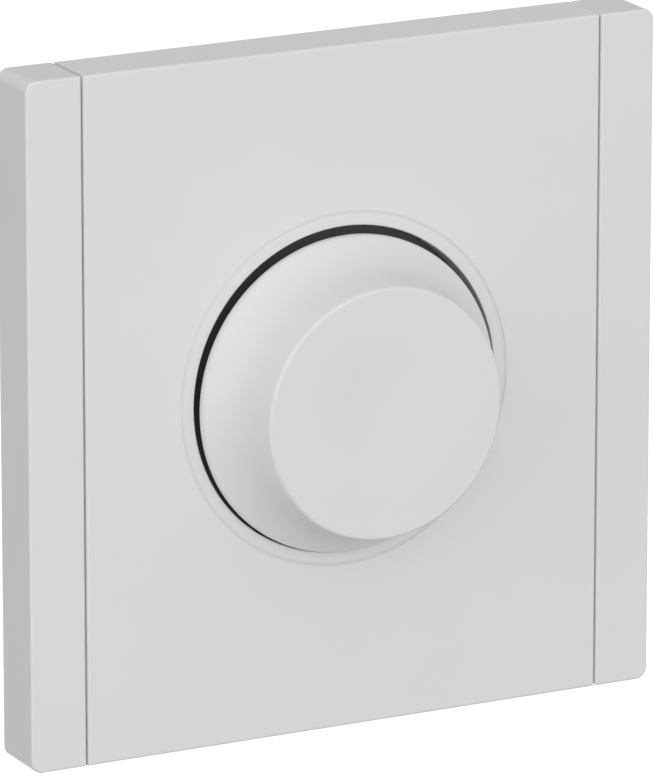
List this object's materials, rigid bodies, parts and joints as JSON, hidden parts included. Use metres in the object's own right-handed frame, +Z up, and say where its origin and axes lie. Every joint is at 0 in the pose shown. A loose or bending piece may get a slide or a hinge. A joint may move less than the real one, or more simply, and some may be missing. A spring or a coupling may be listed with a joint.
{
  "type": "dimmer switch",
  "caption": "Flush-mounted rotary dimmer: square white cover with two side strips, a centre plate and a bell-shaped turn-and-push knob, on a steel bracket with a wall-box case.",
  "frame": {"origin": "on the wall's surface, midway between the two screw slots, on the knob's axis", "axes": "+X to the right, +Z up, +Y into the wall; the knob faces -Y"},
  "size_m": [0.0801, 0.0421, 0.081],
  "materials": {
    "cover_plastic": "satin moulded",
    "zinc_steel": "zinc plated",
    "black_plastic": "matte moulded",
    "case_plastic": "matte moulded",
    "brass": "machined",
    "turned_aluminium": "turned",
    "spring_steel": "rolled",
    "control_plastic": "moulded",
    "bronze": "stamped",
    "phenolic_board": "laminate",
    "carbon_film": "screen printed",
    "tinned_metal": "tinned",
    "epoxy": "moulded",
    "iron_powder": "pressed",
    "enamelled_copper": "enamelled",
    "capacitor_case": "moulded",
    "lacquer": "lacquered",
    "diode_glass": "glass",
    "fuse_glass": "glass"
  },
  "bodies": {
    "insert": {"centre_plate": "cover_plastic", "cover_frame": "cover_plastic", "mounting_bracket": "zinc_steel", "bush_nut": "zinc_steel", "lock_washer": "zinc_steel", "terminal_screws": "zinc_steel", "housing_screws": "zinc_steel", "pot_can": "zinc_steel", "insulating_cap": "black_plastic", "housing_base": "case_plastic", "threaded_bush": "brass", "terminal_left": "brass", "terminal_middle": "brass", "terminal_right": "brass", "triac_rivet": "turned_aluminium", "return_spring": "spring_steel", "switch_housing": "control_plastic", "fixed_contacts": "bronze", "fuse_clips": "bronze", "track_board": "phenolic_board", "circuit_board": "phenolic_board", "carbon_track": "carbon_film", "pot_pins": "tinned_metal", "fuse_caps": "tinned_metal", "triac": "epoxy", "choke_core": "iron_powder", "choke_winding": "enamelled_copper", "film_capacitor": "capacitor_case", "resistor": "lacquer", "diac": "diode_glass", "fuse_tube": "fuse_glass"},
    "rotor": {"pot_rotor": "control_plastic", "pot_wiper": "bronze"},
    "dial": {"knob": "cover_plastic", "knob_clip": "spring_steel", "shaft": "turned_aluminium", "shaft_clip": "zinc_steel"},
    "plunger": {"switch_plunger": "control_plastic", "contact_bridge": "bronze"},
    "left_claw": {"claw_left": "zinc_steel", "claw_screw_left": "zinc_steel"},
    "right_claw": {"claw_right": "zinc_steel", "claw_screw_right": "zinc_steel"}
  },
  "joints": [
    {"name": "knob_turn", "type": "hinge", "parent": "insert", "child": "rotor", "pos_m": [0, 0, 0], "axis": [0, 1, 0], "range_deg": [0, 300]},
    {"name": "knob_push", "type": "slide", "parent": "rotor", "child": "dial", "axis": [0, 1, 0], "range_m": [0, 0.0018], "stiffness_N_per_m": 900, "springref_m": -0.0015, "deforming": ["return_spring"]},
    {"name": "plunger_travel", "type": "slide", "parent": "insert", "child": "plunger", "axis": [0, 1, 0], "range_m": [0, 0.0018]},
    {"name": "claw_left_spread", "type": "hinge", "parent": "insert", "child": "left_claw", "pos_m": [-0.0228, -0.0018, 0], "axis": [0, 0, 1], "range_deg": [0, 14]},
    {"name": "claw_right_spread", "type": "hinge", "parent": "insert", "child": "right_claw", "pos_m": [0.0228, -0.0018, 0], "axis": [0, 0, -1], "range_deg": [0, 14]}
  ],
  "couplings": [
    {"joint": "plunger_travel", "follows": "knob_push", "ratio": 1}
  ]
}
